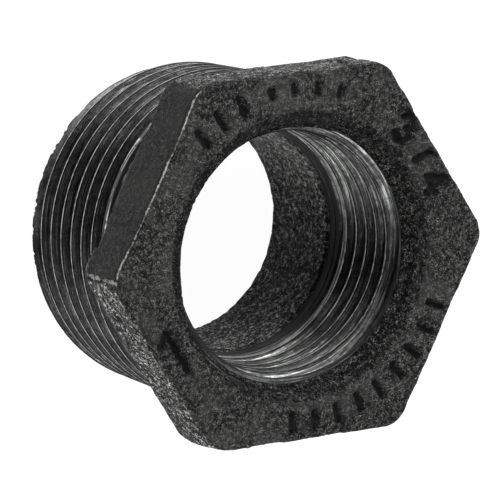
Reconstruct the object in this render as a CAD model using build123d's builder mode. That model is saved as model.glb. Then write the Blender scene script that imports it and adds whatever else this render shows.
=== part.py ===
from build123d import *
from math import atan, cos, degrees, radians, tan
import os

os.makedirs("parts", exist_ok=True)

# Hex bushing: one iron casting that steps 1 in taper pipe thread outside down to 3/4 in inside.
# It stands on its tail end at z = 0, with the axis of both threads on Z and the hex head on top.
INCH = 25.4

# Taper pipe threads: outside diameter of the pipe, threads per inch, hand-tight length
outer_pipe_d = 33.401
outer_tpi = 11.5
inner_pipe_d = 26.67
inner_tpi = 14
inner_hand_tight = 8.611
taper = 1 / 32  # radius gained per unit of length, on every taper pipe thread
flank_angle = 30  # degrees between a flank and the plane square to the axis
crest_trim = 0.05  # metal turned off the crests

# Head
across_flats = 36.1
head_height = 6.35
corner_radius = 2.8
face_edge_radius = 0.55
back_edge_chamfer = 0.35

# Tail, the outside-threaded end
tail_length = 19.25
tail_chamfer = 0.55
neck_web = 0.45  # cast web where the tail meets the head

# Mouth: a dish left by the casting, then the lead turned into the tapping bore
dish_rim_r = 14.3
dish_floor_r = 13.3
dish_depth = 1.9
dish_waist_r = 13.55  # the wall of the dish is hollowed: steep below the waist, flatter above
dish_waist_depth = 0.95

# Waterway: the drilled land under the tapping bore, then the cast core down to the tail end
bore_r = 11.25
bore_chamfer = 0.3
land_r = 11.48
land_top = 12.4
land_bottom = 11.0

# Outside groove: height of its centre line where the cutter starts, whole turns at full
# depth, then the turns and the angle at which the cutter climbs out of the metal
start_z = -2.944
turns = 8
exit_turns = 1
exit_angle = 42

clear = 0.4  # how far a cutter stands out of the metal
flank_clear = 0.08  # how far the cutter's flanks run on past the crest


def pitch_r_at_pipe_end(pipe_d, tpi):
    """Pitch radius at the small end of the pipe, by the taper pipe thread rule."""
    return (pipe_d - (0.05 * pipe_d / INCH + 1.1) * INCH / tpi) / 2


# Outside thread: radii at the tail end
outer_pitch = INCH / outer_tpi
outer_depth = 0.8 * outer_pitch
outer_root_r = pitch_r_at_pipe_end(outer_pipe_d, outer_tpi) - outer_depth / 2
outer_crest_r = outer_root_r + outer_depth - crest_trim
neck_r = outer_crest_r + taper * (tail_length - neck_web)

# Inside thread: radius of its crests at the mouth, which is one hand-tight length above the
# small end of its pipe. The tapping bore is turned to these crests
overall = tail_length + head_height
mouth_z = overall - dish_depth
inner_depth = 0.8 * INCH / inner_tpi
inner_pitch_r = pitch_r_at_pipe_end(inner_pipe_d, inner_tpi) + taper * inner_hand_tight
inner_crest_r = inner_pitch_r - inner_depth / 2 + crest_trim
lead_z = mouth_z - (dish_floor_r - inner_crest_r)  # the lead is turned at 45 degrees

# Groove cutter: a vee swept up the taper, right-handed, then out of the metal
with BuildPart() as outer_groove:
    # One helix for each turn. On a cone a helix takes its pitch along the slant, so the
    # axial pitch is divided back
    taper_angle = degrees(atan(taper))
    start_r = outer_root_r + taper * start_z
    full_depth = [
        Helix(
            pitch=outer_pitch / cos(radians(taper_angle)),
            height=outer_pitch,
            radius=start_r + taper * turn * outer_pitch,
            center=(0, 0, start_z + turn * outer_pitch),
            cone_angle=taper_angle,
            mode=Mode.PRIVATE,
        ).edge()
        for turn in range(turns)
    ]
    way_out = Helix(
        pitch=outer_pitch / cos(radians(exit_angle)),
        height=exit_turns * outer_pitch,
        radius=start_r + taper * turns * outer_pitch,
        center=(0, 0, start_z + turns * outer_pitch),
        cone_angle=exit_angle,
        mode=Mode.PRIVATE,
    ).edge()
    with BuildSketch(Plane(full_depth[0] @ 0, x_dir=(1, 0, 0), z_dir=full_depth[0] % 0)):
        crest = outer_depth + flank_clear
        half_width = crest * tan(radians(flank_angle))
        Polygon(
            (0, 0),
            (crest, half_width),
            (crest + clear, half_width),
            (crest + clear, -half_width),
            (crest, -half_width),
            align=None,
        )
    sweep(path=Wire([*full_depth, way_out]), is_frenet=True)

with BuildPart() as bushing:
    # Head: a hexagon with cast corners and softened edges
    with BuildSketch(Plane.XY.offset(tail_length)):
        hexagon = RegularPolygon(radius=across_flats / 2, side_count=6, major_radius=False)
        fillet(hexagon.vertices(), radius=corner_radius)
    extrude(amount=head_height)
    fillet(bushing.faces().sort_by(Axis.Z)[-1].edges(), radius=face_edge_radius)
    chamfer(bushing.faces().sort_by(Axis.Z)[0].edges(), length=back_edge_chamfer)

    # Tail: the tapered blank of the outside thread, with its end chamfer and the web at its neck
    with BuildSketch(Plane.XZ):
        with BuildLine():
            Polyline(
                (0, 0),
                (outer_crest_r - tail_chamfer, 0),
                (outer_crest_r + taper * tail_chamfer, tail_chamfer),
                (neck_r, tail_length - neck_web),
                (neck_r + neck_web, tail_length),
                (0, tail_length),
                close=True,
            )
        make_face()
    revolve(axis=Axis.Z)

    # Mouth, tapping bore and waterway, turned away as one profile
    with BuildSketch(Plane.XZ):
        with BuildLine():
            Polyline(
                (dish_rim_r, overall),
                (dish_rim_r, overall + clear),
                (0, overall + clear),
                (0, -clear),
                (bore_r + bore_chamfer, -clear),
                (bore_r + bore_chamfer, 0),
                (bore_r, bore_chamfer),
                (bore_r, land_bottom),
                (land_r, land_bottom + land_r - bore_r),
                (land_r, land_top),
                (inner_crest_r, lead_z),
                (dish_floor_r, mouth_z),
                (dish_waist_r, overall - dish_waist_depth),
                close=True,
            )
        make_face()
    revolve(axis=Axis.Z, mode=Mode.SUBTRACT)

    # Outside thread
    add(outer_groove.part, clean=False, mode=Mode.SUBTRACT)

bushing.part.label = "bushing"
export_step(bushing.part, "parts/bushing.step")
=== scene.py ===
"""Hex bushing of black cast iron: taper pipe thread outside and inside the hex head.

The casting is one piece. Its section is swept round the axis, its rough skin is raised on the
cast faces, the size figures are sunk in the head, and both threads are then cut out of it.
"""

from math import cos, pi, radians, sin, tan

import bpy
from bpy.props import FloatProperty, FloatVectorProperty, IntProperty, PointerProperty
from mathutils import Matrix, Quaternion, Vector


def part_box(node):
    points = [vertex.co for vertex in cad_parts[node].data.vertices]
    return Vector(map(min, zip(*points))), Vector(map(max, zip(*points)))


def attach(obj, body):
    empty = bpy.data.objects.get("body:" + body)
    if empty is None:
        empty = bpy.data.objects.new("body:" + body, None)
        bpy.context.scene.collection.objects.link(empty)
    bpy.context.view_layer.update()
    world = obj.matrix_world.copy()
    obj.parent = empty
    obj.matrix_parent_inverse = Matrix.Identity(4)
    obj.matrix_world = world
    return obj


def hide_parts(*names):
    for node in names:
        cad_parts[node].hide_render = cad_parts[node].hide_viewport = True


bl_info = {
    "name": "Hex Bushing",
    "version": (1, 0, 0),
    "blender": (4, 5, 0),
    "location": "3D View > Sidebar > Bushing",
    "description": "Builds a cast iron hex bushing with its taper pipe threads, and its stage",
    "category": "Mesh",
}

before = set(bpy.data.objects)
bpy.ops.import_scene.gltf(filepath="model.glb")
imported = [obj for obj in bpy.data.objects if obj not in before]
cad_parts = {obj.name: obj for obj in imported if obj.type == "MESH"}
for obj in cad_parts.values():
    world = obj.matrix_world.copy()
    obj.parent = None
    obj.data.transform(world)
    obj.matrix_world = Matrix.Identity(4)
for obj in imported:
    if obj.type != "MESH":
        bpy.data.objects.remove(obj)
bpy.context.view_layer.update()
node_low, node_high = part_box("bushing")

MM = 0.001
INCH = 25.4
TURN = 2 * pi
SIDES = 6
OVERALL = (node_high.z - node_low.z) / MM
ACROSS_FLATS = (node_high.y - node_low.y) / MM


# ---------------------------------------------------------------- node trees

class Value:
    """A socket of a node tree that takes part in sums as a number does."""

    def __init__(self, web, socket):
        self.web = web
        self.socket = socket

    def __add__(self, other):
        return self.web.maths("ADD", self, other)

    def __sub__(self, other):
        return self.web.maths("SUBTRACT", self, other)

    def __rsub__(self, other):
        return self.web.maths("SUBTRACT", other, self)

    def __mul__(self, other):
        return self.web.maths("MULTIPLY", self, other)

    def __truediv__(self, other):
        return self.web.maths("DIVIDE", self, other)

    def __rtruediv__(self, other):
        return self.web.maths("DIVIDE", other, self)

    __radd__ = __add__
    __rmul__ = __mul__


class Web:
    """A node tree under construction, for geometry or for shading."""

    def __init__(self, tree):
        self.tree = tree

    def feed(self, socket, value):
        if isinstance(value, Value):
            value = value.socket
        if isinstance(value, bpy.types.NodeSocket):
            self.tree.links.new(value, socket)
        elif value is not None:
            socket.default_value = value

    def node(self, kind, *values, named=None, **settings):
        """Adds a node. values fill its sockets in use in order, and named fills them by name."""
        node = self.tree.nodes.new(kind)
        for name, setting in settings.items():
            setattr(node, name, setting)
        open_sockets = [socket for socket in node.inputs if socket.enabled]
        for socket, value in zip(open_sockets, values):
            self.feed(socket, value)
        for name, value in (named or {}).items():
            self.feed(next(s for s in open_sockets if s.name == name), value)
        return node

    def out(self, node, name=None):
        sockets = [s for s in node.outputs if s.enabled and (name is None or s.name == name)]
        return Value(self, sockets[0])

    def maths(self, operation, *values):
        return self.out(self.node("ShaderNodeMath", *values, operation=operation))

    def ramp(self, value, low, high, to_low=0.0, to_high=1.0):
        """value taken from low..high to to_low..to_high with soft ends, and held outside them."""
        node = self.node(
            "ShaderNodeMapRange", value, low, high, to_low, to_high, interpolation_type="SMOOTHSTEP"
        )
        return self.out(node)

    def separate(self, vector):
        node = self.node("ShaderNodeSeparateXYZ", vector)
        return [Value(self, socket) for socket in node.outputs]

    def combine(self, x, y, z):
        return self.out(self.node("ShaderNodeCombineXYZ", x, y, z))

    def vector(self, operation, *values):
        return self.out(self.node("ShaderNodeVectorMath", *values, operation=operation))

    def scale(self, vector, factor):
        node = self.node("ShaderNodeVectorMath", named={"Vector": vector, "Scale": factor}, operation="SCALE")
        return self.out(node)

    def least(self, first, second):
        return self.maths("MINIMUM", first, second)

    def most(self, first, second):
        return self.maths("MAXIMUM", first, second)

    def heading(self, angle, height=0.0):
        """A step of one away from the axis at an angle round it, with a height."""
        return self.combine(self.maths("COSINE", angle), self.maths("SINE", angle), height)

    def noise(self, place, scale, detail=2.0, rough=0.5, distort=0.0):
        """Even noise about 0.5, with scale in features per unit of place."""
        node = self.node(
            "ShaderNodeTexNoise",
            named={
                "Vector": place, "Scale": scale, "Detail": detail, "Roughness": rough, "Distortion": distort,
            },
        )
        return Value(self, node.outputs[0])

    def attribute(self, name):
        return self.out(self.node("GeometryNodeInputNamedAttribute", name, data_type="FLOAT"))

    def keep(self, geometry, name, value, domain="POINT"):
        node = self.node(
            "GeometryNodeStoreNamedAttribute",
            named={"Geometry": geometry, "Name": name, "Value": value},
            data_type="FLOAT",
            domain=domain,
        )
        return self.out(node)


def new_geometry_tree(name, inputs):
    """A geometry node tree with a Geometry input and output and the named inputs."""
    tree = bpy.data.node_groups.new(name, "GeometryNodeTree")
    tree.interface.new_socket("Geometry", in_out="INPUT", socket_type="NodeSocketGeometry")
    for title, kind, value in inputs:
        socket = tree.interface.new_socket(title, in_out="INPUT", socket_type=kind)
        if value is not None:
            socket.default_value = value
    tree.interface.new_socket("Geometry", in_out="OUTPUT", socket_type="NodeSocketGeometry")
    web = Web(tree)
    entry = tree.nodes.new("NodeGroupInput")
    inlets = {socket.name: Value(web, socket) for socket in entry.outputs if socket.name}
    return web, inlets


def finish_tree(web, geometry):
    leave = web.tree.nodes.new("NodeGroupOutput")
    web.feed(leave.inputs[0], geometry)


def run_tree(base, tree, settings, name):
    """Evaluates the tree on base and returns the result as a plain mesh object."""
    modifier = base.modifiers.new(tree.name, "NODES")
    modifier.node_group = tree
    for item in tree.interface.items_tree:
        if item.in_out == "INPUT" and item.name in settings:
            modifier[item.identifier] = settings[item.name]
    graph = bpy.context.evaluated_depsgraph_get()
    mesh = bpy.data.meshes.new_from_object(base.evaluated_get(graph), depsgraph=graph)
    mesh.name = name
    base.modifiers.remove(modifier)
    made = bpy.data.objects.new(name, mesh)
    bpy.context.scene.collection.objects.link(made)
    return made


def plain_object(name, points, edges):
    mesh = bpy.data.meshes.new(name)
    mesh.from_pydata(points, edges, [])
    made = bpy.data.objects.new(name, mesh)
    bpy.context.scene.collection.objects.link(made)
    return made


def discard(*objects):
    for made in objects:
        mesh = made.data
        bpy.data.objects.remove(made)
        bpy.data.meshes.remove(mesh)


# ---------------------------------------------------------------- sizes and colours

def size(name, description, default):
    """A length in millimetres that a user may change."""
    return FloatProperty(name=name, description=description, default=default, min=0.0, precision=3)


def number(name, description, default, least=0.0):
    """A number without a unit, such as turns."""
    return FloatProperty(name=name, description=description, default=default, min=least, precision=3)


def level(name, description, default):
    """A height in millimetres that may lie below the tail's end."""
    return FloatProperty(name=name, description=description, default=default, precision=3)


def angle(name, description, degrees):
    return FloatProperty(name=name, description=description, default=radians(degrees), subtype="ANGLE")


def colour(name, description, default):
    return FloatVectorProperty(
        name=name, description=description, default=default, size=3, subtype="COLOR", min=0.0, max=1.0
    )


class BushingSizes(bpy.types.PropertyGroup):
    """Sizes of the casting, in millimetres."""

    across_flats: size("Across Flats", "Width of the hexagon over opposite flats", ACROSS_FLATS)
    head_height: size("Head Height", "Height of the hexagon", 6.35)
    corner_radius: size("Corner Radius", "Radius of the hexagon's corners", 2.8)
    face_edge: size("Face Edge", "Radius of the edge round the head's face", 0.55)
    back_edge: size("Back Edge", "Radius of the edge behind the head", 0.35)
    neck_web: size("Neck Web", "Web where the tail meets the head", 0.45)
    end_chamfer: size("End Chamfer", "Chamfer on the tail's end", 0.55)
    dish_rim: size("Dish Rim", "Radius of the dish at the head's face", 14.3)
    dish_waist: size("Dish Waist", "Radius half-way down the dish", 13.55)
    dish_floor: size("Dish Floor", "Radius at the foot of the dish", 13.3)
    dish_depth: size("Dish Depth", "Depth of the dish under the head's face", 1.9)
    land_radius: size("Land Radius", "Radius of the drilled land under the inside thread", 11.48)
    land_top: size("Land Top", "Height of the drilled land's upper end", 12.4)
    land_foot: size("Land Foot", "Height of the drilled land's lower end", 11.0)
    bore_radius: size("Bore Radius", "Radius of the cored waterway", 11.25)
    bore_chamfer: size("Bore Chamfer", "Chamfer at the waterway's tail end", 0.3)
    outside_crests: size("Outside Crests", "Height up to which the outside thread's crests are bright", 14.0)
    inside_crests: size("Inside Crests", "Height down to which the inside thread's crests are bright", 14.2)
    figure_width: size("Figure Width", "Width of the sunk figures' strokes", 0.8)
    figure_depth: size("Figure Depth", "Depth of the sunk figures", 0.5)
    columns: IntProperty(name="Columns", description="Faces round the casting", default=420, min=24)


class SkinSizes(bpy.types.PropertyGroup):
    """How rough the casting came out of the sand, in millimetres."""

    face_relief: size("Face Relief", "Height of the sand grain on the head", 0.085)
    side_relief: size("Side Relief", "Height of the sand grain on the hexagon's sides", 0.16)
    bore_relief: size("Bore Relief", "Height of the sand grain in the waterway", 0.15)
    chip: size("Chips", "Depth of the chips along the threads' ends", 0.2)
    nick: size("Nicks", "Depth of the nicks along the hexagon's edges", 0.7)
    waves: size("Waves", "Depth of the waves on the hexagon's rough sides", 0.9)
    slump: size("Slump", "How far the dish slumped on one side", 0.5)
    slump_way: angle("Slump Way", "Side on which the dish slumped", -50)
    smooth_flat: angle("Smooth Flat", "Way that the one smooth flat faces", -30)
    draft: size("Draft", "How far the smooth flat leans in at the face", 0.2)


class OutsideThread(bpy.types.PropertyGroup):
    """Sizes of the tail's taper pipe thread, in millimetres and turns."""

    pipe: size("Pipe", "Outside diameter of the pipe", 33.401)
    per_inch: number("Per Inch", "Threads per inch", 11.5, least=1.0)
    start: level("Start", "Height of the groove's centre where it starts", -2.944)
    full_turns: number("Full Turns", "Turns cut at full depth", 8.0)
    exit_turns: number("Exit Turns", "Turns over which the groove runs out", 2.0)
    exit_angle: angle("Exit Angle", "Slope of the run-out", 27)


class InsideThread(bpy.types.PropertyGroup):
    """Sizes of the head's taper pipe thread, in millimetres and turns."""

    pipe: size("Pipe", "Outside diameter of the pipe", 26.67)
    per_inch: number("Per Inch", "Threads per inch", 14.0, least=1.0)
    start: level("Start", "Height of the groove's centre where it starts", 26.1)
    full_turns: number("Full Turns", "Turns cut at full depth", 6.0)
    exit_turns: number("Exit Turns", "Turns over which the groove runs out", 2.0)
    exit_angle: angle("Exit Angle", "Slope of the run-out", 27)


class FinishColours(bpy.types.PropertyGroup):
    """Colours of the iron."""

    skin: colour("Skin", "Black cast skin", (0.030, 0.031, 0.0295))
    # Near-black of painted shade: in the grain's hollows and low skin, the wrinkles' folds, one side of the
    # dish, the sunk figures, the groove roots and unworn cut metal; also of random dark patches
    pit_shade: colour("Pit", "Bottom of the skin's pits", (0.005, 0.005, 0.005))
    # Light grey of rubbed grain tips and bare edges, and of painted glints on the grain and the wrinkles'
    # ridges
    tip_and_glint: colour("Tip", "Rubbed tips of the grain", (0.36, 0.36, 0.35))
    flank: colour("Flank", "Blackened thread flank", (0.034, 0.035, 0.034))
    crest: colour("Crest", "Bare worn crest", (0.5, 0.5, 0.49))


class StageSizes(bpy.types.PropertyGroup):
    """Where the camera stands and how wide the floor is."""

    azimuth: angle("Azimuth", "Way the camera stands from the axis", -20.97)
    elevation: angle("Elevation", "Height of the camera over the horizon", 59.08)
    roll: angle("Roll", "Turn of the camera about its own axis", 105.93)
    distance: size("Distance", "Camera to the point it looks at", 600.0)
    lens: FloatProperty(name="Lens", description="Focal length", default=439.96, unit="CAMERA")
    look_at: FloatVectorProperty(
        name="Look At", description="Point at the picture's centre", default=(-0.925, 1.085, 13.75), size=3
    )
    floor: size("Floor", "Radius of the floor", 900.0)


# ---------------------------------------------------------------- casting

TAPER = 1 / 32  # radius gained per unit of height, on both threads
HAND_TIGHT = 8.611  # of the 3/4 in thread, from the mouth to the small end of its pipe
DEPTH_SHARE = 0.8  # depth of a groove, as a share of the pitch
FLANK = radians(30)
CREST_TRIM = 0.05  # taken off a sharp crest's radius
ROOT_SHARE = 0.024  # half width of a groove's root, as a share of the pitch
VEE_REACH = (0.06, 0.5)  # how far past the crest the vee's upright walls stand
VEE_GAP = 0.02  # kept between a turn's vee and the middle of the crest, past the metal
VEE_SEGMENTS = 140  # of the cutter, in each turn
TEAR = 0.05  # unevenness of a cut wall
OPEN_TEAR = 6.0  # how much more uneven it is at a thread's open end
OUTSIDE_TEAR = (3.0, 0.5)  # heights between which the outside thread grows uneven
INSIDE_TEAR_FROM = 21.0  # height above which the inside thread grows uneven

SEAM = 0.002  # points nearer than this are merged where the sweep closes
CORNER_BLEND = 0.03  # half the turn, in radians, over which one side of the hexagon becomes the next
SKIN_SOFTNESS = 0.1  # over which high skin is held down to the casting's own outline
KNOCKED_WAY = radians(-22)  # side on which the tail's end is knocked
KNOCKED_END = (2.0, 4.0)  # heights between which the knocks fade
CREASE = radians(28)  # cut metal that bends more than this has a sharp edge

CREST_FADE = 0.6  # height over which the outside crests fade under the neck
CHIPPED_CRESTS = 1.5  # height of the chipped crests at the inside thread's mouth
CAST_LEAD = 0.25  # share of the lead cone that is cast skin, under the dish
RIM_WIDTH = 0.25  # of the rubbed rim round the dish
RIM_DROP = 0.12  # of the dish's rim below the face
LAND_EDGE = 0.05  # height of the step into the drilled land


def pitch(thread):
    return INCH / thread.per_inch


def pitch_radius_at_pipe_end(thread):
    """Pitch radius at the small end of the pipe, by the taper pipe thread rule."""
    return (thread.pipe - (0.05 * thread.pipe / INCH + 1.1) * pitch(thread)) / 2


def outer_root(thread):
    return pitch_radius_at_pipe_end(thread) - DEPTH_SHARE * pitch(thread) / 2


def inner_root(thread):
    """Root radius of the inside thread at the mouth."""
    return pitch_radius_at_pipe_end(thread) + TAPER * HAND_TIGHT + DEPTH_SHARE * pitch(thread) / 2


def arc(centre, radius, start, end, steps):
    """Points of an arc in the section, after its first."""
    turns = [start + (end - start) * step / steps for step in range(1, steps + 1)]
    return [(centre[0] + radius * cos(radians(t)), centre[1] + radius * sin(radians(t))) for t in turns]


# What each point of the section carries besides its radius and height
LAYERS = ("hexagon", "relief", "cut", "crest", "edge", "dish")


def section(sizes, skin, outer, inner):
    """The casting's section, from the foot of the waterway out, up, in and down again.

    Each point has its radius and height, and then its LAYERS: its share of the hexagon, the height
    of its grain, and how far it is cut metal, a thread's crest, a rubbed edge and the dish. Radii
    on the hexagon are those at mid flat.
    """
    half = sizes.across_flats / 2
    neck = OVERALL - sizes.head_height
    mouth = OVERALL - sizes.dish_depth
    crest_low = outer_root(outer) + DEPTH_SHARE * pitch(outer) - CREST_TRIM
    crest_high = crest_low + TAPER * (neck - sizes.neck_web)
    crest_fade = sizes.outside_crests + CREST_FADE
    inner_crest = inner_root(inner) - DEPTH_SHARE * pitch(inner) + CREST_TRIM
    inner_low = inner_crest - TAPER * (mouth - sizes.land_top)
    lead_foot = mouth - (sizes.dish_floor - inner_crest)
    lead_radius = sizes.dish_floor + CAST_LEAD * (inner_crest - sizes.dish_floor)
    lead_height = mouth + CAST_LEAD * (lead_foot - mouth)
    step_down = sizes.land_radius - sizes.bore_radius
    face, chip = skin.face_relief, skin.chip
    back = (half - sizes.back_edge, neck + sizes.back_edge)
    front = (half - sizes.face_edge, OVERALL - sizes.face_edge)
    foot = (sizes.bore_radius + sizes.bore_chamfer, 0.0)
    points = [(*foot, 0, face, 0, 0, 0, 0)]

    def run(radius, height, steps, hexagon=0, relief=0.0, cut=0, crest=0, edge=0, dish=0):
        first = points[-1]
        for step in range(1, steps + 1):
            radius_here, height_here, share = (
                start + (end - start) * step / steps for start, end in zip(first, (radius, height, hexagon))
            )
            points.append((radius_here, height_here, share, relief, cut, crest, edge, dish))

    def along(centre, radius, start, end, edges):
        bend = arc(centre, radius, start, end, len(edges))
        points.extend((r, z, 1, face, 0, 0, edge, 0) for (r, z), edge in zip(bend, edges))

    # Tail: its end, the chamfer, the crests and the neck
    run(crest_low - sizes.end_chamfer, 0.0, 13, relief=face / 2)
    run(crest_low + TAPER * sizes.end_chamfer, sizes.end_chamfer, 2, relief=chip, cut=1, crest=0.6)
    run(crest_low + TAPER * sizes.outside_crests, sizes.outside_crests, 10, cut=1, crest=1)
    run(crest_low + TAPER * crest_fade, crest_fade, 2, cut=1)
    run(crest_high, neck - sizes.neck_web, 4, cut=1)
    run(crest_high + sizes.neck_web, neck, 2, cut=1)
    # Head: its back, side, face and dish
    run(half - sizes.back_edge, neck, 8, hexagon=1, relief=face)
    along(back, sizes.back_edge, -90, 0, (0.2, 0.8, 0.3))
    run(half, front[1], 21, hexagon=1, relief=skin.side_relief)
    along(front, sizes.face_edge, 0, 90, (0.3, 1.0, 0.2, 0.0))
    run(sizes.dish_rim + RIM_WIDTH, OVERALL, 20, relief=face)
    run(sizes.dish_rim, OVERALL - RIM_DROP, 1, relief=face, edge=0.5)
    run(sizes.dish_waist, OVERALL - sizes.dish_depth / 2, 5, relief=face * 1.5, dish=1)
    run(sizes.dish_floor, mouth, 4, relief=face * 2, dish=1)
    # Socket: the lead cone, the crests, the drilled land and the waterway
    run(lead_radius, lead_height, 1, relief=face * 2, dish=1)
    run(inner_crest, lead_foot, 4, relief=chip / 2, cut=1, crest=0.05)
    run(inner_crest - TAPER * CHIPPED_CRESTS, lead_foot - CHIPPED_CRESTS, 4, relief=chip / 2, cut=1, crest=1)
    run(inner_crest - TAPER * (lead_foot - sizes.inside_crests), sizes.inside_crests, 6, cut=1, crest=1)
    run(inner_low, sizes.land_top, 2, cut=1)
    run(sizes.land_radius, sizes.land_top - LAND_EDGE, 1, cut=1)
    run(sizes.land_radius, sizes.land_foot + step_down, 3, cut=1)
    run(sizes.bore_radius, sizes.land_foot, 1, relief=skin.bore_relief)
    run(sizes.bore_radius, sizes.bore_chamfer, 36, relief=skin.bore_relief)
    run(*foot, 2, relief=face)
    return points[:-1]


# Strokes of each sunk figure, as shares of its height, about its middle line
FIGURES = {
    "1": [[(-0.27, 0.80), (0.0, 1.0), (0.0, 0.0)]],
    "3": [[(-0.29, 0.86), (-0.11, 1.0), (0.11, 1.0), (0.27, 0.84), (0.25, 0.66), (0.05, 0.54),
           (0.27, 0.42), (0.31, 0.2), (0.13, 0.0), (-0.13, 0.0), (-0.31, 0.16)]],
    "4": [[(0.15, 0.0), (0.15, 1.0), (-0.33, 0.3), (0.33, 0.3)]],
    "bar": [[(0.0, 0.0), (0.0, 1.0)]],
}

# Figure, its middle as radius and azimuth, height, and the way its top points, from the axis outwards
SUNK_FIGURES = [
    ("1", 15.9, 28.2, 4.6, -88.5),
    ("3", 16.5, 222.5, 2.6, 8.0),
    ("bar", 16.3, 210.3, 1.8, -12.0),
    ("4", 16.35, 199.9, 2.7, 6.0),
]
# Three rows of plain ticks: radius, first azimuth, height and count
TICK_STEP = 9.0
for tick_radius, first_tick, tick_height, tick_count in (
    (16.2, 84.0, 1.5, 9), (16.4, 252.0, 0.7, 4), (16.4, 291.0, 1.9, 3),
):
    SUNK_FIGURES += [
        ("bar", tick_radius, first_tick + TICK_STEP * place, tick_height, 0.0) for place in range(tick_count)
    ]


def figure_strokes():
    """Strokes of the figures and ticks on the head's face, as points and edges in metres."""
    points, edges = [], []
    for figure, radius, azimuth, height, tilt in SUNK_FIGURES:
        place = Vector((radius * cos(radians(azimuth)), radius * sin(radians(azimuth))))
        up = Vector((cos(radians(azimuth + tilt)), sin(radians(azimuth + tilt))))
        across = Vector((up.y, -up.x))
        for stroke in FIGURES[figure]:
            first = len(points)
            for x, y in stroke:
                spot = place + across * x * height + up * (y - 0.5) * height
                points.append((spot.x * MM, spot.y * MM, OVERALL * MM))
            edges += [(first + i, first + i + 1) for i in range(len(stroke) - 1)]
    return points, edges


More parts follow.
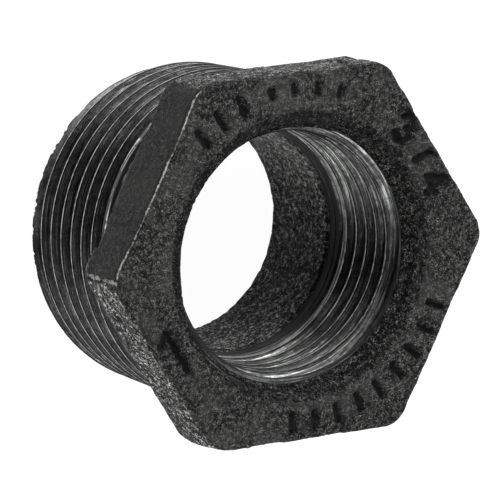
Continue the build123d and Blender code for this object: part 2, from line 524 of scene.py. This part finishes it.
def casting_tree():
    """Sweeps a section round the axis, shapes the hexagon, raises the skin and sinks the figures."""
    web, inlet = new_geometry_tree("turned_casting", [
        ("Columns", "NodeSocketInt", 420),
        ("Half Flats", "NodeSocketFloat", 18.05),
        ("Corner Radius", "NodeSocketFloat", 2.8),
        ("Neck", "NodeSocketFloat", 19.25),
        ("Figures", "NodeSocketObject", None),
        ("Figure Width", "NodeSocketFloat", 0.8),
        ("Figure Depth", "NodeSocketFloat", 0.5),
        ("Smooth Flat", "NodeSocketFloat", radians(-30)),
        ("Draft", "NodeSocketFloat", 0.2),
        ("Waves", "NodeSocketFloat", 0.9),
        ("Nicks", "NodeSocketFloat", 0.7),
        ("Slump", "NodeSocketFloat", 0.5),
        ("Slump Way", "NodeSocketFloat", radians(-50)),
    ])
    shape = inlet["Geometry"]
    count = web.out(web.node("GeometryNodeAttributeDomainSize", shape), "Point Count")
    rows = count + 1
    columns = inlet["Columns"] + 1
    grid = web.node("GeometryNodeMeshGrid", 1.0, 1.0, columns, rows)
    index = web.out(web.node("GeometryNodeInputIndex"))
    column = web.maths("FLOOR", index / rows)
    row = web.maths("MODULO", index - column * rows, count)
    spot = web.out(web.node("GeometryNodeInputPosition"))

    def sample(value, kind):
        node = web.node("GeometryNodeSampleIndex", shape, value, row, data_type=kind, domain="POINT")
        return web.out(node)

    radius, _, height = web.separate(sample(spot, "FLOAT_VECTOR"))
    hexagon = sample(web.attribute("hexagon"), "FLOAT")
    turn = column / inlet["Columns"] * TURN

    # Radius of the hexagon with rounded corners. Its corners stand at whole sixths of a turn
    half, corner = inlet["Half Flats"] * MM, inlet["Corner Radius"] * MM
    from_corner = web.maths("PINGPONG", turn, TURN / SIDES / 2)
    arc_centre = (half - corner) / cos(pi / SIDES)
    tangent = web.maths("ARCTAN2", corner * sin(pi / SIDES), arc_centre + corner * cos(pi / SIDES))
    flat = half / web.maths("COSINE", pi / SIDES - from_corner)
    across = arc_centre * web.maths("SINE", from_corner)
    reach = web.maths("SQRT", web.most(corner * corner - across * across, 0.0))
    rounded = arc_centre * web.maths("COSINE", from_corner) + reach
    on_corner = web.maths("LESS_THAN", from_corner, tangent)
    six_sided = flat + (rounded - flat) * on_corner
    radius = radius + hexagon * (six_sided - half)
    place = web.combine(radius * web.maths("COSINE", turn), radius * web.maths("SINE", turn), height)
    swept = web.out(web.node("GeometryNodeSetPosition", web.out(grid), True, place))
    for name in LAYERS:
        swept = web.keep(swept, name, sample(web.attribute(name), "FLOAT"))
    swept = web.out(web.node("GeometryNodeMergeByDistance", swept, True, SEAM * MM))

    # Where a point lies: its way round, the smooth flat, the hexagon's rough sides and its edges
    here = web.scale(spot, 1 / MM)
    x, y, z = web.separate(spot)
    normal = web.out(web.node("GeometryNodeInputNormal"))
    azimuth = web.maths("ARCTAN2", y, x)
    off_flat = web.maths("ABSOLUTE", azimuth - inlet["Smooth Flat"])
    flat_end = (pi / SIDES - CORNER_BLEND, pi / SIDES + CORNER_BLEND)
    on_hexagon = web.attribute("hexagon")
    side = web.ramp(web.maths("ABSOLUTE", web.separate(normal)[2]), 0.5, 0.9, 1.0, 0.0) * on_hexagon
    dressed = web.ramp(off_flat, *flat_end, 1.0, 0.0) * side
    bare_corner = web.ramp(web.maths("ABSOLUTE", azimuth), 0.0, CORNER_BLEND, 1.0, 0.0) * side
    bare_edge = web.attribute("edge") * web.ramp(off_flat, *flat_end, 1.0, 0.3)
    swept = web.keep(swept, "dressed", dressed)
    swept = web.keep(swept, "side", side)
    swept = web.keep(swept, "edge", web.most(bare_edge, bare_corner))

    # Skin: lumps and grain along the surface, waves and nicks, and chips along the threads' ends
    lumps = web.noise(here, 0.75, 2.0) - 0.5
    grain = web.noise(here, 1.9, 2.0, 0.6) - 0.5
    fine = web.noise(web.vector("ADD", here, (31.0, 7.0, 3.0)), 3.6, 1.0) - 0.5
    rough = web.attribute("relief") * (1.0 - dressed * 0.8) * MM
    waves = (web.noise(here, 0.3, 2.0) - 0.62) * (inlet["Waves"] * MM) * side * (1.0 - dressed)
    nicks = (web.noise(here, 0.9, 2.0) - 0.55) * web.attribute("edge") * (inlet["Nicks"] * MM)
    patches = web.ramp(web.noise(here, 0.22, 2.0), 0.42, 0.6, 0.2, 2.0)
    knocked = web.ramp(web.maths("COSINE", azimuth - KNOCKED_WAY), 0.8, 0.95, 0.25, 2.2)
    at_end = web.ramp(z, KNOCKED_END[0] * MM, KNOCKED_END[1] * MM, 1.0, 0.0)
    chipped = patches + (knocked - patches) * at_end - 1.0
    skin = (lumps * 2.2 + grain * 2.6 + fine * 0.9) * rough * (web.attribute("cut") * chipped + 1.0)
    swept = web.keep(swept, "height", (skin + nicks) / MM)
    skin = web.maths("SMOOTH_MIN", skin + waves + nicks, 0.0, SKIN_SOFTNESS * MM)

    # Figures: sunk below the face by their distance from a stroke
    strokes = web.out(web.node("GeometryNodeObjectInfo", inlet["Figures"]), "Geometry")
    near = web.node("GeometryNodeProximity", strokes, target_element="EDGES")
    sample_place = next(socket for socket in near.inputs if socket.name == "Sample Position")
    web.feed(sample_place, web.combine(x, y, OVERALL * MM))
    ragged = web.out(near, "Distance") + (web.noise(here, 1.6, 2.0) - 0.5) * (0.5 * MM)
    wide = inlet["Figure Width"] * (MM / 2)
    on_face = web.ramp(z, (OVERALL - 0.9) * MM, (OVERALL - 0.3) * MM)
    sunk = web.ramp(ragged, wide * 0.6, wide * 1.2, 1.0, 0.0) * on_face
    swept = web.keep(swept, "sunk", sunk)

    # All that moves a point: its skin, the smooth flat's draft, the slumped dish and the figures
    draft = web.ramp(off_flat, 0.25, pi / SIDES, 1.0, 0.0) * on_hexagon
    draft = draft * web.ramp(z, inlet["Neck"] * MM, OVERALL * MM, 0.0, inlet["Draft"]) * MM
    slump = web.maths("COSINE", azimuth - inlet["Slump Way"]) * web.attribute("dish")
    below_face = web.ramp(z, (OVERALL - 0.9) * MM, (OVERALL - 0.2) * MM, 1.0, 0.0)
    slump = web.ramp(slump, 0.0, 0.7, 0.0, inlet["Slump"]) * below_face * MM
    shift = web.scale(normal, skin)
    shift = web.vector("ADD", shift, web.scale(web.heading(inlet["Smooth Flat"]), draft * -1))
    shift = web.vector("ADD", shift, web.scale(web.heading(azimuth, -1.0), slump * -1))
    shift = web.vector("ADD", shift, web.combine(0.0, 0.0, sunk * inlet["Figure Depth"] * -MM))
    swept = web.out(web.node("GeometryNodeSetPosition", swept, True, None, shift))
    swept = web.keep(swept, "cut_face", web.maths("GREATER_THAN", web.attribute("cut"), 0.99), "FACE")
    swept = web.keep(swept, "crest_face", web.attribute("crest"), "FACE")
    finish_tree(web, swept)
    return web.tree


def groove_tree():
    """Carries a vee along a taper helix and out of the metal, as a closed cutter.

    The base mesh is the vee's outline, with x out of the root and y along the axis.
    """
    web, inlet = new_geometry_tree("groove_cutter", [
        ("Segments", "NodeSocketInt", 1600),
        ("Full Turns", "NodeSocketFloat", 8.0),
        ("Exit Turns", "NodeSocketFloat", 2.0),
        ("Exit Angle", "NodeSocketFloat", 0.5),
        ("Pitch", "NodeSocketFloat", 2.2),
        ("Start Radius", "NodeSocketFloat", 14.0),
        ("Start Height", "NodeSocketFloat", 0.0),
        ("Start Turn", "NodeSocketFloat", 0.0),
        ("Way", "NodeSocketFloat", 1.0),
        ("Tear", "NodeSocketFloat", TEAR),
        ("Ragged From", "NodeSocketFloat", 0.0),
        ("Ragged To", "NodeSocketFloat", 1.0),
    ])
    spot = web.out(web.node("GeometryNodeInputPosition"))
    out, up, _ = web.separate(spot)
    outline = web.keep(inlet["Geometry"], "out", out / MM)
    outline = web.keep(outline, "up", up / MM)
    profile = web.out(web.node("GeometryNodeMeshToCurve", outline))
    line = web.out(web.node("GeometryNodeCurvePrimitiveLine", (0.0, 0.0, 0.0), (1.0, 0.0, 0.0)))
    line = web.out(web.node("GeometryNodeResampleCurve", line, True, inlet["Segments"] + 1))
    along = web.out(web.node("GeometryNodeSplineParameter"), "Factor")
    line = web.keep(line, "along", along)
    solid = web.out(web.node("GeometryNodeCurveToMesh", line, profile, 1.0, True))
    way, rise = inlet["Way"], inlet["Pitch"]
    turns = web.attribute("along") * (inlet["Full Turns"] + inlet["Exit Turns"])
    full = web.least(turns, inlet["Full Turns"])
    steep = web.maths("TANGENT", inlet["Exit Angle"])
    climb = (full * TAPER + (turns - full) * steep) * rise * way
    height = inlet["Start Height"] + (turns * rise + web.attribute("up")) * way
    angle = (inlet["Start Turn"] + turns * way) * TURN
    radius = inlet["Start Radius"] + climb + web.attribute("out") * way
    place = web.vector("ADD", web.scale(web.heading(angle), radius * MM), web.combine(0.0, 0.0, height * MM))
    solid = web.out(web.node("GeometryNodeSetPosition", solid, True, place))
    here = web.scale(spot, 1 / MM)
    ragged = web.ramp(web.separate(here)[2], inlet["Ragged From"], inlet["Ragged To"], 1.0, OPEN_TEAR)
    torn = (web.noise(here, 1.6, 3.0, 0.7) - 0.5) * inlet["Tear"] * ragged * MM
    normal = web.out(web.node("GeometryNodeInputNormal"))
    solid = web.out(web.node("GeometryNodeSetPosition", solid, True, None, web.scale(normal, torn)))
    solid = web.keep(solid, "flank_face", 1.0, "FACE")
    inside_out = web.maths("LESS_THAN", way, 0.0)
    solid = web.out(web.node("GeometryNodeFlipFaces", solid, inside_out))
    finish_tree(web, solid)
    return web.tree


def vee_outline(thread):
    """Closed outline of the vee, in metres, from its root to past the crest."""
    depth = DEPTH_SHARE * pitch(thread)
    root = ROOT_SHARE * pitch(thread)
    side = [(depth * share, depth * share * tan(FLANK) + root) for share in (0.0, 0.35, 0.7, 0.97)]
    side += [(depth + reach, pitch(thread) / 2 - VEE_GAP) for reach in VEE_REACH]
    outline = side + [(x, -y) for x, y in reversed(side)]
    count = len(outline)
    points = [(x * MM, y * MM, 0.0) for x, y in outline]
    return points, [(i, (i + 1) % count) for i in range(count)]


def cutting_tree():
    """Cuts both grooves out of the casting and gives its faces their finish."""
    web, inlet = new_geometry_tree("cut_threads", [
        ("Outside Groove", "NodeSocketObject", None),
        ("Inside Groove", "NodeSocketObject", None),
        ("Skin", "NodeSocketMaterial", None),
        ("Cut Metal", "NodeSocketMaterial", None),
    ])
    body = web.keep(inlet["Geometry"], "flank_face", 0.0, "FACE")
    cutters = [
        web.out(web.node("GeometryNodeObjectInfo", inlet[name]), "Geometry")
        for name in ("Outside Groove", "Inside Groove")
    ]
    boolean = web.node("GeometryNodeMeshBoolean", body, operation="DIFFERENCE", solver="MANIFOLD")
    for cutter in cutters:
        web.tree.links.new(cutter.socket, boolean.inputs[1])
    shape = web.out(boolean, "Mesh")
    shape = web.out(web.node("GeometryNodeSetShadeSmooth", shape, True, True, domain="FACE"))
    bend = web.out(web.node("GeometryNodeInputMeshEdgeAngle"), "Unsigned Angle")
    machined = web.attribute("cut_face") + web.attribute("flank_face")
    crisp = web.maths("GREATER_THAN", bend, CREASE) * web.maths("GREATER_THAN", machined, 0.3)
    shape = web.out(web.node("GeometryNodeSetShadeSmooth", shape, crisp, False, domain="EDGE"))
    shape = web.out(web.node("GeometryNodeRealizeInstances", shape))
    shape = web.out(web.node("GeometryNodeSetMaterial", shape, True, inlet["Skin"]))
    metal = web.maths("GREATER_THAN", machined, 0.5)
    shape = web.out(web.node("GeometryNodeSetMaterial", shape, metal, inlet["Cut Metal"]))
    finish_tree(web, shape)
    return web.tree


# ---------------------------------------------------------------- finishes

def new_material(name):
    material = bpy.data.materials.new(name)
    material.use_nodes = True
    material.node_tree.nodes.clear()
    return material, Web(material.node_tree)


def new_shader_group(name, inputs, outputs):
    """A shader node group with the named inputs, as name and default, and named outputs."""
    tree = bpy.data.node_groups.new(name, "ShaderNodeTree")
    for title, value in inputs:
        kind = "NodeSocketVector" if value is None else "NodeSocketFloat"
        socket = tree.interface.new_socket(title, in_out="INPUT", socket_type=kind)
        if value is not None:
            socket.default_value = value
    for title in outputs:
        tree.interface.new_socket(title, in_out="OUTPUT", socket_type="NodeSocketFloat")
    web = Web(tree)
    entry = tree.nodes.new("NodeGroupInput")
    inlets = {socket.name: Value(web, socket) for socket in entry.outputs if socket.name}
    return web, inlets


def close_group(web, **values):
    leave = web.tree.nodes.new("NodeGroupOutput")
    for name, value in values.items():
        web.feed(leave.inputs[name.replace("_", " ").title()], value)


def use_group(web, tree, **values):
    node = web.node("ShaderNodeGroup", node_tree=tree)
    for name, value in values.items():
        web.feed(node.inputs[name.replace("_", " ").title()], value)
    return {socket.name: Value(web, socket) for socket in node.outputs}


def object_millimetres(web):
    place = web.out(web.node("ShaderNodeTexCoord"), "Object")
    return web.scale(place, 1 / MM)


def tint(colour, factor):
    return [part * factor for part in colour]


def blend(web, share, low, high):
    node = web.node("ShaderNodeMix", data_type="RGBA")
    web.feed(node.inputs["Factor"], share)
    for socket, value in ((node.inputs[6], low), (node.inputs[7], high)):
        web.feed(socket, value if isinstance(value, Value) else (*value, 1.0))
    return Value(web, node.outputs[2])


def mask(web, name):
    node = web.node("ShaderNodeAttribute", attribute_name=name)
    return web.out(node, "Fac")


def grain_group():
    """Sand grain: its height, the rubbed tips that take painted glints and the hollows that take painted
    shade, for a grain size in millimetres.
    """
    web, inlet = new_shader_group(
        "sand_grain", [("Place", None), ("Size", 0.3)], ["Height", "Tips", "Hollows", "Tone"]
    )
    scale = 1.0 / inlet["Size"]
    lumps = web.noise(inlet["Place"], scale * 0.4, 2.0, 0.6)
    coarse = web.noise(inlet["Place"], scale * 1.0, 2.0, 0.6)
    fine = web.noise(web.vector("ADD", inlet["Place"], (17.0, 5.0, 29.0)), scale * 1.9, 2.0, 0.7)
    height = lumps * 0.35 + coarse * 0.4 + fine * 0.25
    # tips: where rubbing and painted glints go; hollows: the grain's low parts, where painted shade goes
    tips = web.ramp(fine * 0.55 + coarse * 0.25 + lumps * 0.2, 0.54, 0.61)
    hollows = web.ramp(height, 0.45, 0.545, 1.0, 0.0)
    tone = web.ramp(web.noise(inlet["Place"], 0.16, 3.0), 0.3, 0.7)
    close_group(web, height=height, tips=tips, hollows=hollows, tone=tone)
    return web.tree


def skin_material(colours, grain):
    """Black cast skin: sand grain with rubbed tips and painted glints, painted shade in its hollows, painted
    light in the waterway, and bare edges.
    """
    material, web = new_material("cast_skin")
    place = object_millimetres(web)
    x, y, _ = web.separate(place)
    around = x * x + y * y
    spots = use_group(web, grain, place=place, size=0.19)
    height, relief, sunk, dressed, edge, side = (
        mask(web, name) for name in ("height", "relief", "sunk", "dressed", "edge", "side")
    )
    as_cast = 1.0 - dressed
    raised = web.ramp(height, -0.02, 0.10)
    low = web.ramp(height, -0.10, 0.0, 1.0, 0.0)

    # Parts of the casting: the waterway, with painted light on one side of it, the dish, with painted shade
    # on one side of it, and all that is rugged
    bore = web.ramp(around, 132.0, 140.0, 1.0, 0.0)
    # painted light: lit marks the waterway's side towards negative y, painted much lighter below
    lit = bore * web.ramp(y, -6.0, -1.0, 1.0, 0.0)
    # painted shade: the dish is darkened towards the pit colour, most on one side
    dish = web.ramp(around, 197.0, 204.0, 1.0, 0.0) * (1.0 - bore)
    dish = dish * web.ramp(x * 0.64 - y * 0.77, 2.0, 8.0, 0.3, 1.0)
    rugged = web.most(side * as_cast, bore * 0.8)

    # What breaks the skin up: patches of grain, bare edges, grit, random dark patches, and wrinkles, with
    # painted glints on their ridges and painted shade in their folds
    patchy = web.ramp(web.noise(place, 0.3, 2.0), 0.36, 0.62, 0.65, 1.25)
    rough_share = relief * 10.0 * (1.0 - dressed * 0.75) * patchy
    bare = web.ramp(edge + (web.noise(place, 3.0, 2.0) - 0.5) * 1.2, 0.6, 0.9)
    bare = bare * web.ramp(web.noise(place, 0.8, 2.0), 0.38, 0.58, 0.25, 1.0)
    grit = web.ramp(relief, 0.135, 0.148) * as_cast
    deep = web.ramp(web.noise(place, 1.3, 3.0, 0.7), 0.62, 0.70)
    wrinkles = web.noise(place, 2.3, 2.0, 0.6, 0.8)
    # painted highlight: glints on the wrinkles' ridges, brighter towards positive y; painted shade: the
    # wrinkles' folds darkened
    painted_ridge_glints = web.ramp(wrinkles, 0.55, 0.62) * rugged * web.ramp(y, -14.0, 2.0, 0.2, 1.0)
    fold_shade = web.ramp(wrinkles, 0.40, 0.47, 1.0, 0.0) * rugged

    # Colour: the skin, painted lighter in the waterway as painted light, then rubbed tips with painted
    # glints, then flecks of painted glints and bare edges, then painted shade and what else is dark
    base = blend(web, spots["Tone"] * as_cast, tint(colours.skin, 0.95), tint(colours.skin, 1.3))
    # painted light: the waterway's skin is painted lighter than the rest, and much lighter where lit marks it
    base = blend(web, bore, base, tint(colours.skin, 1.9))
    base = blend(web, lit, base, tint(colours.skin, 3.6))
    # rubbed: the grain's tips, partly rubbed and partly painted glints, with bare edges and the ridges'
    # painted glints
    rubbed = web.least(spots["Tips"] * (raised * 0.5 + 0.35) * rough_share + bare + painted_ridge_glints * 0.9, 1.0)
    base = blend(web, rubbed, base, colours.tip_and_glint)
    # painted glints on the gritty grain, strongest in the waterway and on the sides, together with the bare
    # edges
    glints_and_bare_edges = web.most(bare * 0.5, rubbed * grit * web.most(web.most(bore, side), 0.3))
    base = blend(web, glints_and_bare_edges, base, tint(colours.tip_and_glint, 2.5))
    # painted shade in the grain's hollows and the low skin, with random dark patches, less where the waterway
    # takes painted light
    hollow_shade_and_dark_patches = (spots["Hollows"] + low * 0.35 + deep * 0.5) * web.least(rough_share, 0.95) * (1.0 - lit * 0.55)
    # painted shade: the hollows, the sunk figures, the folds and one side of the dish darkened towards the
    # pit colour
    dark = web.least(hollow_shade_and_dark_patches + sunk + fold_shade * 0.7 + dish * 0.6, 1.0)
    base = blend(web, dark, base, colours.pit_shade)

    bump_height = spots["Height"] * rough_share * (0.95 * MM) + wrinkles * rugged * (0.35 * MM)
    bump = web.node("ShaderNodeBump", named={"Strength": 1.0, "Distance": 1.0, "Height": bump_height})
    shader = web.node("ShaderNodeBsdfPrincipled")
    web.feed(shader.inputs["Base Color"], base)
    web.feed(shader.inputs["Roughness"], dark * 0.25 + 0.45 - rubbed * 0.1 + dressed * 0.1)
    web.feed(shader.inputs["Normal"], web.out(bump))
    web.feed(shader.inputs["Specular IOR Level"], rubbed * 0.7 + side * as_cast * 0.12 + 0.08)
    web.node("ShaderNodeOutputMaterial", web.out(shader))
    return material


def thread_material(colours, grain):
    """Cut metal: blackened flanks streaked along the groove with painted sheen, bare worn crests, and painted
    shade in the roots and on unworn metal.
    """
    material, web = new_material("cut_metal")
    place = object_millimetres(web)
    spots = use_group(web, grain, place=place, size=0.45)
    flank, crest = mask(web, "flank_face"), mask(web, "crest_face")
    off_flank = 1.0 - flank
    x, y, z = web.separate(place)
    outside = web.ramp(x * x + y * y, 170.0, 190.0)
    patch = web.ramp(web.noise(place, 0.22, 2.0), 0.3, 0.65)
    patchy = patch * 0.6 + 0.4

    # Flanks: black, with bright streaks along the groove and painted sheen, which is brighter on some sides
    # than on others
    lane = web.combine(x * 0.14, y * 0.14, mask(web, "up") * 8.0 + z * (off_flank * 4.0 + 0.5))
    streak = web.noise(lane, 1.0, 3.0, 0.7)
    # painted sheen: how bright the flanks are painted changes with their side round the axis
    painted_sheen_by_side = web.ramp(y, -8.0, 6.0, 1.3, 0.5) + web.ramp(y, 9.0, 12.0, 0.0, 1.5)
    painted_sheen_by_side = painted_sheen_by_side * web.ramp(x * 0.71 - y * 0.71, 15.0, 16.0, 1.0, 0.2)
    # painted sheen with the streaks: flanks painted light, more inside than outside
    bright_streaks_and_sheen = web.ramp(streak, 0.45, 0.63) * patchy * (1.0 - outside * 0.55) * painted_sheen_by_side
    base = blend(web, web.least(bright_streaks_and_sheen, 1.0), tint(colours.flank, 0.85), tint(colours.flank, 11.0))
    # painted sheen: the tail's first band, on its side towards negative y, is painted lighter
    tail = web.ramp(z, 1.4, 2.6, 0.8, 0.0) * web.ramp(y, -4.0, 1.0, 1.0, 0.0)
    base = blend(web, tail * patchy, base, tint(colours.flank, 7.0))
    # painted shade in the cut grain's hollows and in the groove roots
    base = blend(web, spots["Hollows"] * 0.5, base, colours.pit_shade)
    root = flank * web.ramp(web.maths("ABSOLUTE", mask(web, "up")), 0.10, 0.30, 1.0, 0.0)
    base = blend(web, root * 0.85, base, colours.pit_shade)

    # Crests: bare where worn, painted shade on cut metal away from the crests, and turned rings round the
    # neck painted bright as highlights
    # turned rings round the neck, painted bright as highlights
    turned_rings_painted_bright = web.ramp(web.noise(web.combine(x * 0.11, y * 0.11, z * 3.2), 1.0, 1.0, 0.6), 0.52, 0.60)
    turned_rings_painted_bright = turned_rings_painted_bright * web.ramp(web.noise(place, 1.1, 2.0), 0.42, 0.54, 0.1, 1.0)
    neck = outside * web.ramp(z, 14.2, 15.2)
    # painted shade: cut metal off the flanks and away from the crests, such as the lead cone and the drilled
    # land, is darkened
    unworn_shade = off_flank * web.ramp(crest, 0.0, 0.2, 1.0, 0.0)
    base = blend(web, unworn_shade * 0.85, base, colours.pit_shade)
    base = blend(web, neck * 0.9, base, tint(colours.flank, 0.9))
    base = blend(web, turned_rings_painted_bright * neck, base, tint(colours.flank, 22.0))
    broken = web.ramp(web.noise(place, 1.5, 3.0, 0.7), 0.36, 0.6, 0.25, 1.0)
    worn = off_flank * broken * (1.0 - neck) * web.ramp(crest + (streak - 0.5) * 2.5, 0.45, 0.8)
    base = blend(web, worn, base, colours.crest)

    bump_height = streak * (0.13 * MM) + spots["Height"] * (0.05 * MM)
    bump = web.node("ShaderNodeBump", named={"Strength": 1.0, "Distance": 1.0, "Height": bump_height})
    shader = web.node("ShaderNodeBsdfPrincipled")
    web.feed(shader.inputs["Base Color"], base)
    web.feed(shader.inputs["Roughness"], streak * 0.3 + 0.32 + unworn_shade * 0.25 - outside * 0.1)
    web.feed(shader.inputs["Normal"], web.out(bump))
    web.feed(shader.inputs["Metallic"], tail * -0.7 - neck * 0.6 + 0.75)
    web.node("ShaderNodeOutputMaterial", web.out(shader))
    return material


# ---------------------------------------------------------------- operators

class BUSHING_OT_casting(bpy.types.Operator):
    """Makes the bushing: the casting with its sunk figures and both threads"""

    bl_idname = "bushing.casting"
    bl_label = "Make Bushing"

    def execute(self, context):
        scene = context.scene
        sizes, skin_sizes = scene.bushing_sizes, scene.skin_sizes
        outer, inner = scene.outside_thread, scene.inside_thread
        points = section(sizes, skin_sizes, outer, inner)
        count = len(points)
        outline = plain_object(
            "section",
            [(point[0] * MM, 0.0, point[1] * MM) for point in points],
            [(i, (i + 1) % count) for i in range(count)],
        )
        for slot, name in enumerate(LAYERS, start=2):
            layer = outline.data.attributes.new(name, "FLOAT", "POINT")
            layer.data.foreach_set("value", [float(p[slot]) for p in points])
        figures = plain_object("figure_strokes", *figure_strokes())
        body = run_tree(outline, casting_tree(), {
            "Columns": sizes.columns,
            "Half Flats": sizes.across_flats / 2,
            "Corner Radius": sizes.corner_radius,
            "Neck": OVERALL - sizes.head_height,
            "Figures": figures,
            "Figure Width": sizes.figure_width,
            "Figure Depth": sizes.figure_depth,
            "Smooth Flat": skin_sizes.smooth_flat,
            "Draft": skin_sizes.draft,
            "Waves": skin_sizes.waves,
            "Nicks": skin_sizes.nick,
            "Slump": skin_sizes.slump,
            "Slump Way": skin_sizes.slump_way,
        }, "casting")
        mouth = OVERALL - sizes.dish_depth
        tree = groove_tree()
        cutters, outlines = [], []
        outer_start = outer_root(outer) + TAPER * outer.start
        inner_start = inner_root(inner) + TAPER * (inner.start - mouth)
        for name, thread, way, start_turn, radius, ragged in (
            ("outside_groove", outer, 1.0, 0.0, outer_start, OUTSIDE_TEAR),
            ("inside_groove", inner, -1.0, 0.5, inner_start, (INSIDE_TEAR_FROM, mouth)),
        ):
            vee = plain_object(name + "_vee", *vee_outline(thread))
            outlines.append(vee)
            cutters.append(run_tree(vee, tree, {
                "Segments": int((thread.full_turns + thread.exit_turns) * VEE_SEGMENTS),
                "Full Turns": thread.full_turns,
                "Exit Turns": thread.exit_turns,
                "Exit Angle": thread.exit_angle,
                "Pitch": pitch(thread),
                "Start Radius": radius,
                "Start Height": thread.start,
                "Start Turn": start_turn,
                "Way": way,
                "Ragged From": ragged[0],
                "Ragged To": ragged[1],
            }, name))
        grain = grain_group()
        skin = skin_material(scene.finish_colours, grain)
        metal = thread_material(scene.finish_colours, grain)
        bushing = run_tree(body, cutting_tree(), {
            "Outside Groove": cutters[0], "Inside Groove": cutters[1], "Skin": skin, "Cut Metal": metal,
        }, "threaded_casting")
        discard(outline, figures, body, *cutters, *outlines)
        if len(bushing.data.polygons) == 0:
            raise RuntimeError("the threads were not cut")
        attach(bushing, "root")
        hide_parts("bushing")
        return {"FINISHED"}


WORLD_LIGHT = 0.15  # of the white that the camera sees
# Softboxes: name, place to the camera's right, up and near in millimetres, width, height, watts
LIGHTS = [
    ("overhead_softbox", 372.0, 372.0, 288.0, 300.0, 300.0, 6.8),
    ("low_softbox", 150.0, -470.0, 336.0, 340.0, 240.0, 3.8),
    ("left_softbox", -450.0, -360.0, -120.0, 260.0, 260.0, 2.0),
]


class BUSHING_OT_stage(bpy.types.Operator):
    """Makes the floor, the studio light and the camera"""

    bl_idname = "bushing.stage"
    bl_label = "Make Stage"

    def execute(self, context):
        stage = context.scene.stage_sizes
        self.make_camera(context.scene, stage)
        self.make_floor(context.scene, stage)
        self.make_lights(context.scene)
        return {"FINISHED"}

    def make_camera(self, scene, stage):
        camera = bpy.data.cameras.new("camera")
        camera.lens = stage.lens
        camera.sensor_width = 36.0
        camera.clip_start, camera.clip_end = 0.01, 10.0
        holder = bpy.data.objects.new("camera", camera)
        scene.collection.objects.link(holder)
        back = Vector((
            cos(stage.azimuth) * cos(stage.elevation),
            sin(stage.azimuth) * cos(stage.elevation),
            sin(stage.elevation),
        ))
        level = (-back).to_track_quat("-Z", "Y")
        holder.rotation_mode = "QUATERNION"
        holder.rotation_quaternion = level @ Quaternion((0.0, 0.0, 1.0), stage.roll)
        holder.location = Vector(stage.look_at) * MM + back * stage.distance * MM
        scene.camera = holder
        self.camera_turn = holder.rotation_quaternion.copy()
        self.aim = Vector(stage.look_at) * MM

    def make_floor(self, scene, stage):
        mesh = bpy.data.meshes.new("floor")
        count, reach = 96, stage.floor * MM
        rim = [(reach * cos(TURN * i / count), reach * sin(TURN * i / count), -0.0002) for i in range(count)]
        mesh.from_pydata(rim, [], [list(range(count))])
        floor = bpy.data.objects.new("floor", mesh)
        scene.collection.objects.link(floor)
        material, web = new_material("white_floor")
        path = web.node("ShaderNodeLightPath")
        camera, glossy, through = (
            Value(web, path.outputs[f"Is {ray} Ray"]) for ray in ("Camera", "Glossy", "Transmission")
        )
        seen = web.most(web.most(camera, glossy), through)
        paper = web.node("ShaderNodeBsdfDiffuse", (0.8, 0.8, 0.8, 1.0))
        faint = web.node("ShaderNodeBsdfDiffuse", (0.12, 0.12, 0.12, 1.0))
        glow = web.node("ShaderNodeEmission", (1.0, 1.0, 1.0, 1.0), 0.97)
        lit = web.node("ShaderNodeAddShader", web.out(faint), web.out(glow))
        mix = web.node("ShaderNodeMixShader", seen, web.out(paper), web.out(lit))
        web.node("ShaderNodeOutputMaterial", web.out(mix))
        mesh.materials.append(material)

    def make_lights(self, scene):
        world = bpy.data.worlds.new("studio")
        world.use_nodes = True
        world.node_tree.nodes.clear()
        web = Web(world.node_tree)
        path = web.node("ShaderNodeLightPath")
        camera_ray = Value(web, path.outputs["Is Camera Ray"])
        strength = camera_ray * (1.0 - WORLD_LIGHT) + WORLD_LIGHT
        sky = web.node("ShaderNodeBackground", (1.0, 1.0, 1.0, 1.0), strength)
        web.node("ShaderNodeOutputWorld", web.out(sky))
        scene.world = world
        for name, right, up, near, wide, tall, watts in LIGHTS:
            lamp = bpy.data.lights.new(name, "AREA")
            lamp.shape = "RECTANGLE"
            lamp.size, lamp.size_y, lamp.energy = wide * MM, tall * MM, watts
            holder = bpy.data.objects.new(name, lamp)
            offset = self.camera_turn @ Vector((right, up, near)) * MM
            holder.location = self.aim + offset
            holder.rotation_mode = "QUATERNION"
            holder.rotation_quaternion = (-offset).to_track_quat("-Z", "Y")
            scene.collection.objects.link(holder)


class BUSHING_PT_panel(bpy.types.Panel):
    """Lists what makes the bushing"""

    bl_label = "Hex Bushing"
    bl_idname = "BUSHING_PT_panel"
    bl_space_type = "VIEW_3D"
    bl_region_type = "UI"
    bl_category = "Bushing"

    def draw(self, context):
        for holder in GROUPS:
            group = getattr(context.scene, holder)
            column = self.layout.column(align=True)
            for name in group.__annotations__:
                column.prop(group, name)
        self.layout.operator(BUSHING_OT_casting.bl_idname)
        self.layout.operator(BUSHING_OT_stage.bl_idname)


GROUPS = {
    "bushing_sizes": BushingSizes,
    "skin_sizes": SkinSizes,
    "outside_thread": OutsideThread,
    "inside_thread": InsideThread,
    "finish_colours": FinishColours,
    "stage_sizes": StageSizes,
}
CLASSES = [*GROUPS.values(), BUSHING_OT_casting, BUSHING_OT_stage, BUSHING_PT_panel]


def register():
    for kind in CLASSES:
        bpy.utils.register_class(kind)
    for name, kind in GROUPS.items():
        setattr(bpy.types.Scene, name, PointerProperty(type=kind))


def unregister():
    for name in GROUPS:
        delattr(bpy.types.Scene, name)
    for kind in reversed(CLASSES):
        bpy.utils.unregister_class(kind)


def main():
    register()
    scene = bpy.context.scene
    scene.view_settings.view_transform = "Standard"
    bpy.ops.bushing.casting()
    bpy.ops.bushing.stage()


if __name__ == "__main__":
    main()
